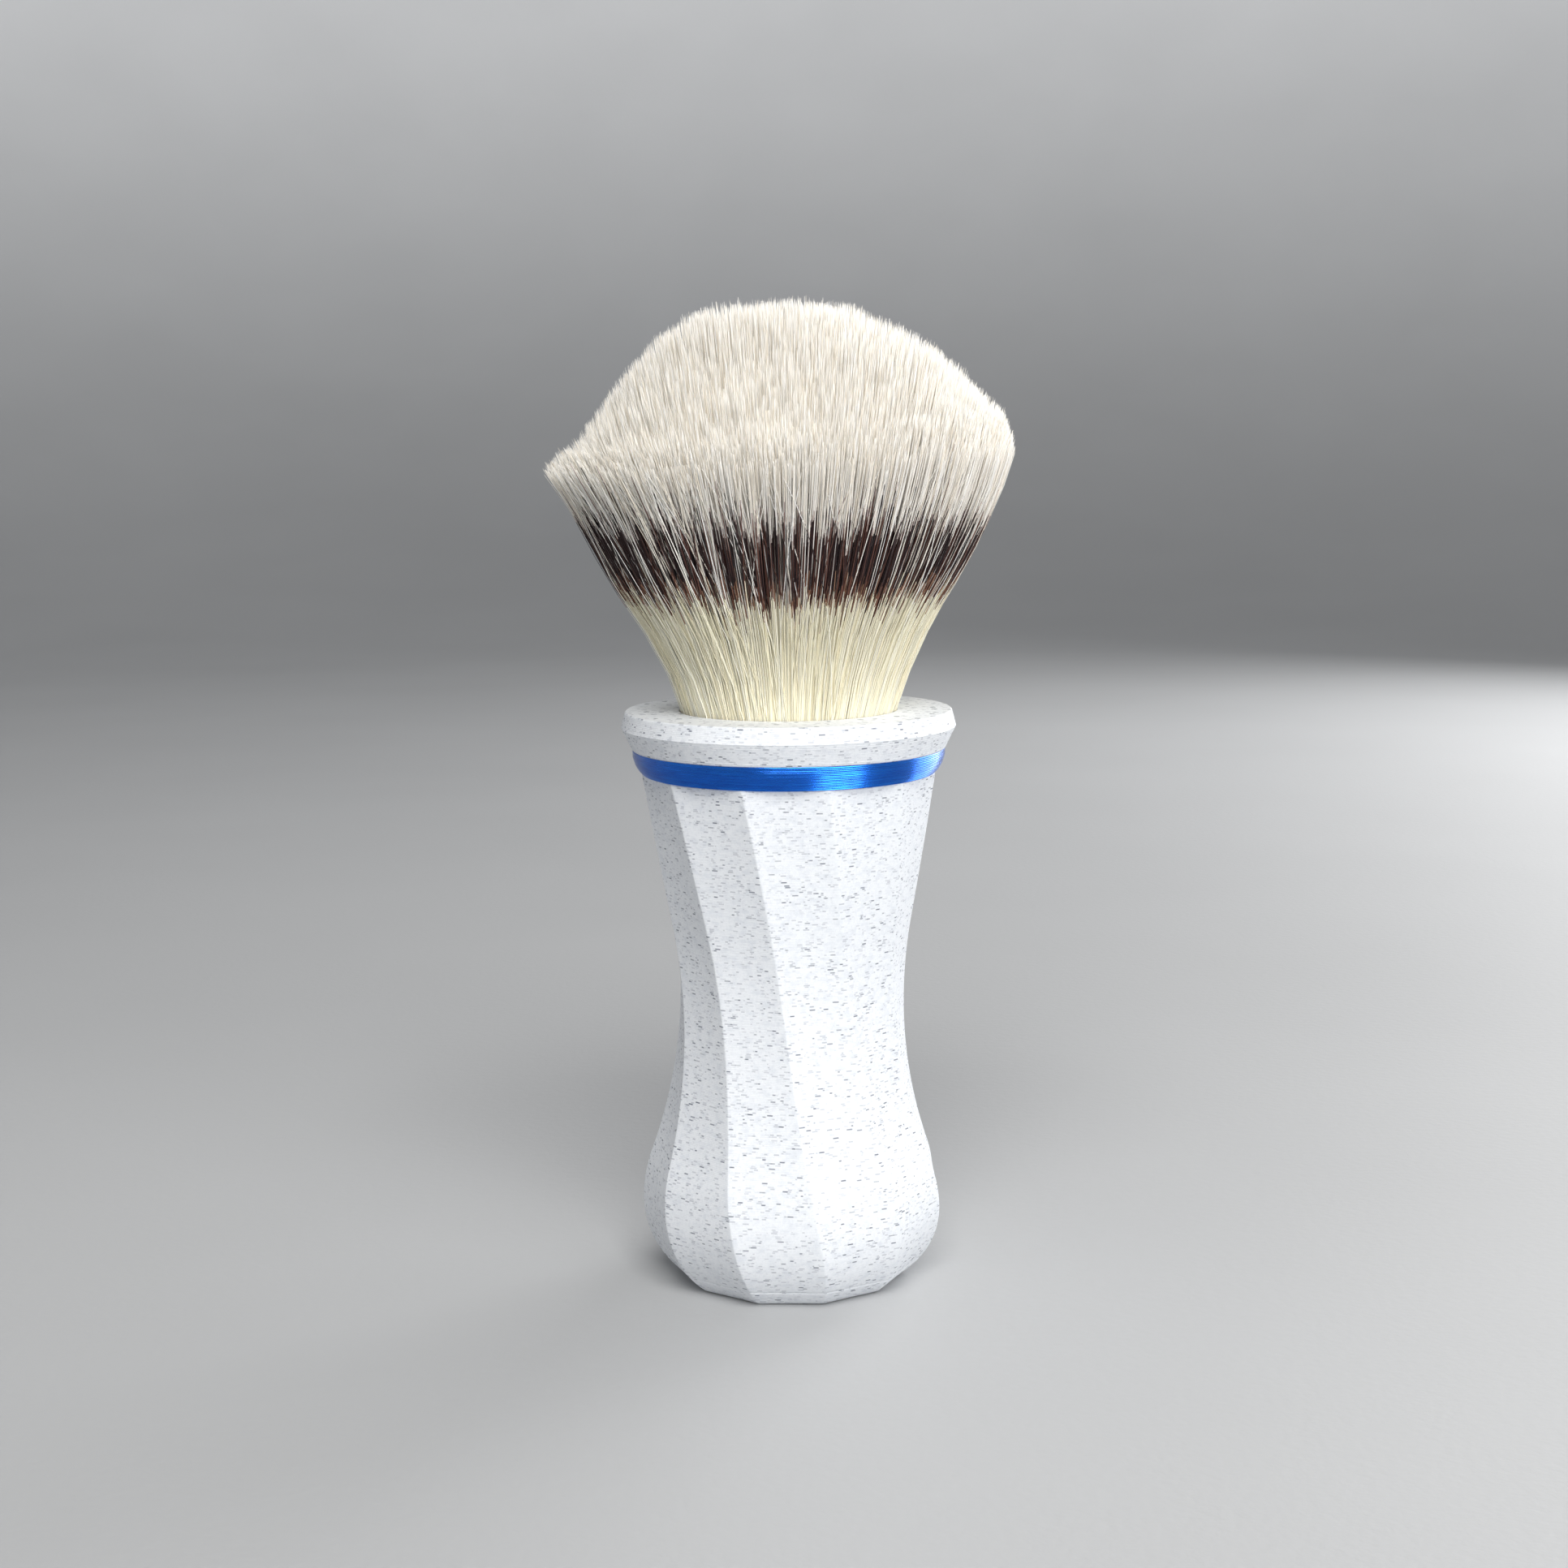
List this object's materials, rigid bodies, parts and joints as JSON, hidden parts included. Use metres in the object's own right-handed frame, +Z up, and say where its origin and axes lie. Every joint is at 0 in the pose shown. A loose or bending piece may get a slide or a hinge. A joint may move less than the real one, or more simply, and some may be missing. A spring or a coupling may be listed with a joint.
{
  "type": "fade brush",
  "caption": "Barber's fade brush: twisted, faceted printed handle with a coloured ring and round collar, holding a fan-shaped knot of soft banded fibres.",
  "frame": {"origin": "centre of the flat base, on the surface the brush stands on", "axes": "+Z up the handle's axis to the fibre tips, +X to the right and -Y towards a person facing the brush"},
  "size_m": [0.0532, 0.0532, 0.1184],
  "materials": {
    "speckled_print": "matte layered print, white with short grey specks",
    "silk_blue": "silky blue print with fine layer lines",
    "fibre": "soft crimped synthetic fibre, cream roots, dark brown band, off-white tips",
    "resin": "cast amber resin",
    "adhesive": "cured epoxy",
    "steel": "turned steel"
  },
  "bodies": {
    "root": {"grip_shell": "speckled_print", "base_cap": "speckled_print", "socket_collar": "speckled_print", "accent_ring": "silk_blue", "fibre_knot": "fibre", "knot_root": "resin", "knot_adhesive": "adhesive", "ballast_slug": "steel"}
  },
  "joints": []
}
